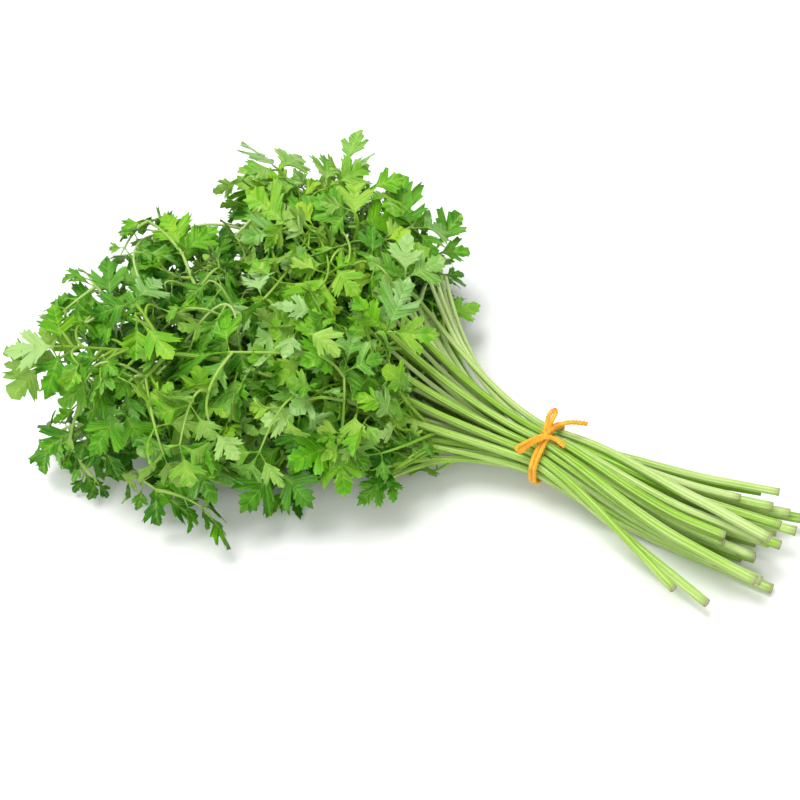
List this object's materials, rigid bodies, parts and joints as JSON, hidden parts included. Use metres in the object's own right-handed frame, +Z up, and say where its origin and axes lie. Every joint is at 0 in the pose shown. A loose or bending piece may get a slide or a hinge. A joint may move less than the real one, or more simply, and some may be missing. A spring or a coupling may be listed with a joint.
{
  "type": "parsley bunch",
  "caption": "Bunch of flat-leaf parsley lying on its side: long green stalks with divided toothed leaves, tied round the middle with an orange string bow.",
  "frame": {"origin": "on the surface the bunch lies on, under the middle of its bounding box", "axes": "+X along the stalks towards their cut ends, +Y across the bunch, +Z up from the surface it lies on"},
  "size_m": [0.3322, 0.2134, 0.0921],
  "materials": {
    "parsley": "fresh green leaves with a soft waxy sheen and pale green ribbed stalks",
    "twine": "soft twisted orange yarn, matt"
  },
  "bodies": {
    "root": {"leafy_stem_01": "parsley", "leafy_stem_02": "parsley", "leafy_stem_03": "parsley", "leafy_stem_04": "parsley", "leafy_stem_05": "parsley", "leafy_stem_06": "parsley", "leafy_stem_07": "parsley", "leafy_stem_08": "parsley", "leafy_stem_09": "parsley", "leafy_stem_10": "parsley", "leafy_stem_11": "parsley", "leafy_stem_12": "parsley", "leafy_stem_13": "parsley", "leafy_stem_14": "parsley", "leafy_stem_15": "parsley", "leafy_stem_16": "parsley", "leafy_stem_17": "parsley", "leafy_stem_18": "parsley", "leafy_stem_19": "parsley", "leafy_stem_20": "parsley", "leafy_stem_21": "parsley", "leafy_stem_22": "parsley", "leafy_stem_23": "parsley", "leafy_stem_24": "parsley", "leafy_stem_25": "parsley", "leafy_stem_26": "parsley", "leafy_stem_27": "parsley", "leafy_stem_28": "parsley", "leafy_stem_29": "parsley", "leafy_stem_30": "parsley", "twine_tie": "twine"}
  },
  "joints": []
}
